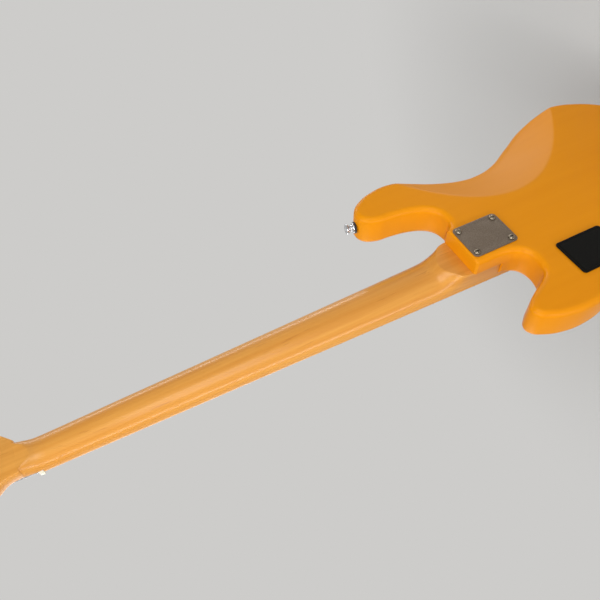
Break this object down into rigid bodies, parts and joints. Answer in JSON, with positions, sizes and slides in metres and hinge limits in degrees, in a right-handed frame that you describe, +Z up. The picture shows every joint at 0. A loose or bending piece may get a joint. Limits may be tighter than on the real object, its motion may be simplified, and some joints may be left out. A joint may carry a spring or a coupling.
{
  "type": "electric bass guitar",
  "caption": "Electric bass guitar with an offset lacquered body, a bolt-on maple neck, open-gear tuners, pickups, a barrel-saddle bridge and a battery box in its back.",
  "frame": {"origin": "on the centre line at the nut, at the height of the fretboard's face, where a hanger holds the bass by its headstock", "axes": "+Z up the neck to the headstock, -Y out of the strings' side, +X towards the thin strings"},
  "size_m": [0.3455, 0.0705, 1.1904],
  "materials": {
    "butterscotch_lacquer": "gloss lacquer",
    "amber_maple": "satin lacquer",
    "bone": "polished bone",
    "chrome": "polished",
    "satin_nickel": "satin, warm grey",
    "steel": "drawn",
    "wound_nickel": "round wound",
    "brass": "turned",
    "black_plastic": "moulded",
    "guard_plastic": "gloss",
    "black_felt": "felt",
    "battery_case": "satin",
    "circuit_board": "solder resist"
  },
  "bodies": {
    "instrument": {"body": "butterscotch_lacquer", "neck": "amber_maple", "fretboard": "amber_maple", "nut": "bone", "truss_rod": "steel", "truss_rod_cover": "guard_plastic", "string_tree": "chrome", "tuner_plate_E": "chrome", "tuner_bushing_E": "chrome", "tuner_plate_A": "chrome", "tuner_bushing_A": "chrome", "tuner_plate_D": "chrome", "tuner_bushing_D": "chrome", "tuner_plate_G": "chrome", "tuner_bushing_G": "chrome", "string_E": "wound_nickel", "string_A": "wound_nickel", "string_D": "wound_nickel", "string_G": "steel", "pickup_neck": "black_plastic", "pickup_bridge": "black_plastic", "pickguard": "guard_plastic", "control_plate": "chrome", "preamp": "circuit_board", "output_jack": "chrome", "bridge_plate": "chrome", "saddle_spring_E": "steel", "saddle_spring_A": "steel", "saddle_spring_D": "steel", "saddle_spring_G": "steel", "neck_plate": "satin_nickel", "neck_screw_1": "chrome", "neck_screw_2": "chrome", "neck_screw_3": "chrome", "neck_screw_4": "chrome", "strap_button_upper": "chrome", "strap_button_lower": "chrome", "strap_felt_upper": "black_felt", "strap_felt_lower": "black_felt", "battery_box": "black_plastic", "battery_1": "battery_case", "battery_2": "battery_case"},
    "post_E": {"tuner_post_E": "chrome"},
    "key_E": {"tuner_key_E": "chrome"},
    "post_A": {"tuner_post_A": "chrome"},
    "key_A": {"tuner_key_A": "chrome"},
    "post_D": {"tuner_post_D": "chrome"},
    "key_D": {"tuner_key_D": "chrome"},
    "post_G": {"tuner_post_G": "chrome"},
    "key_G": {"tuner_key_G": "chrome"},
    "volume_control": {"knob_volume": "chrome"},
    "balance_control": {"knob_balance": "chrome"},
    "bass_control": {"knob_bass": "chrome"},
    "treble_control": {"knob_treble": "chrome"},
    "battery_cover": {"battery_lid": "black_plastic"},
    "saddle_body_E": {"saddle_E": "chrome"},
    "saddle_body_A": {"saddle_A": "chrome"},
    "saddle_body_D": {"saddle_D": "chrome"},
    "saddle_body_G": {"saddle_G": "chrome"},
    "rod_nut": {"truss_rod_nut": "brass"}
  },
  "joints": [
    {"name": "tuner_key_E_turn", "type": "hinge", "parent": "instrument", "child": "key_E", "pos_m": [-0.01934, 0.0287, 0.06595], "axis": [0.9777, 0, -0.2098], "continuous": true},
    {"name": "tuner_post_E_turn", "type": "hinge", "parent": "instrument", "child": "post_E", "pos_m": [-0.02169, 0.0225, 0.055], "axis": [0, 1, 0], "continuous": true},
    {"name": "tuner_key_A_turn", "type": "hinge", "parent": "instrument", "child": "key_A", "pos_m": [-0.00944, 0.0287, 0.10795], "axis": [0.9777, 0, -0.2098], "continuous": true},
    {"name": "tuner_post_A_turn", "type": "hinge", "parent": "instrument", "child": "post_A", "pos_m": [-0.01179, 0.0225, 0.097], "axis": [0, 1, 0], "continuous": true},
    {"name": "tuner_key_D_turn", "type": "hinge", "parent": "instrument", "child": "key_D", "pos_m": [-0.00044, 0.0287, 0.14995], "axis": [0.9777, 0, -0.2098], "continuous": true},
    {"name": "tuner_post_D_turn", "type": "hinge", "parent": "instrument", "child": "post_D", "pos_m": [-0.00279, 0.0225, 0.139], "axis": [0, 1, 0], "continuous": true},
    {"name": "tuner_key_G_turn", "type": "hinge", "parent": "instrument", "child": "key_G", "pos_m": [0.0077, 0.0287, 0.19195], "axis": [0.9777, 0, -0.2098], "continuous": true},
    {"name": "tuner_post_G_turn", "type": "hinge", "parent": "instrument", "child": "post_G", "pos_m": [0.00535, 0.0225, 0.181], "axis": [0, 1, 0], "continuous": true},
    {"name": "volume_turn", "type": "hinge", "parent": "instrument", "child": "volume_control", "pos_m": [0.09215, 0.007, -0.75231], "axis": [0, -1, 0], "range_deg": [-145, 145]},
    {"name": "balance_turn", "type": "hinge", "parent": "instrument", "child": "balance_control", "pos_m": [0.09601, 0.007, -0.7891], "axis": [0, -1, 0], "range_deg": [-145, 145]},
    {"name": "bass_turn", "type": "hinge", "parent": "instrument", "child": "bass_control", "pos_m": [0.09988, 0.007, -0.8259], "axis": [0, -1, 0], "range_deg": [-145, 145]},
    {"name": "treble_turn", "type": "hinge", "parent": "instrument", "child": "treble_control", "pos_m": [0.09988, 0.007, -0.8259], "axis": [0, -1, 0], "range_deg": [-145, 145]},
    {"name": "battery_lid_swing", "type": "hinge", "parent": "instrument", "child": "battery_cover", "pos_m": [0.0788, 0.0549, -0.6319], "axis": [1, 0, 0], "range_deg": [0, 100]},
    {"name": "saddle_E_slide", "type": "slide", "parent": "instrument", "child": "saddle_body_E", "axis": [0, 0, 1], "range_m": [-0.003, 0.005], "deforming": ["saddle_spring_E"]},
    {"name": "saddle_A_slide", "type": "slide", "parent": "instrument", "child": "saddle_body_A", "axis": [0, 0, 1], "range_m": [-0.003, 0.005], "deforming": ["saddle_spring_A"]},
    {"name": "saddle_D_slide", "type": "slide", "parent": "instrument", "child": "saddle_body_D", "axis": [0, 0, 1], "range_m": [-0.003, 0.005], "deforming": ["saddle_spring_D"]},
    {"name": "saddle_G_slide", "type": "slide", "parent": "instrument", "child": "saddle_body_G", "axis": [0, 0, 1], "range_m": [-0.003, 0.005], "deforming": ["saddle_spring_G"]},
    {"name": "truss_rod_nut_turn", "type": "hinge", "parent": "instrument", "child": "rod_nut", "pos_m": [0, 0.0132, 0.03], "axis": [0, 0, 1], "range_deg": [-180, 180]}
  ],
  "couplings": [
    {"joint": "tuner_post_E_turn", "follows": "tuner_key_E_turn", "ratio": 0.05},
    {"joint": "tuner_post_A_turn", "follows": "tuner_key_A_turn", "ratio": 0.05},
    {"joint": "tuner_post_D_turn", "follows": "tuner_key_D_turn", "ratio": 0.05},
    {"joint": "tuner_post_G_turn", "follows": "tuner_key_G_turn", "ratio": 0.05}
  ]
}
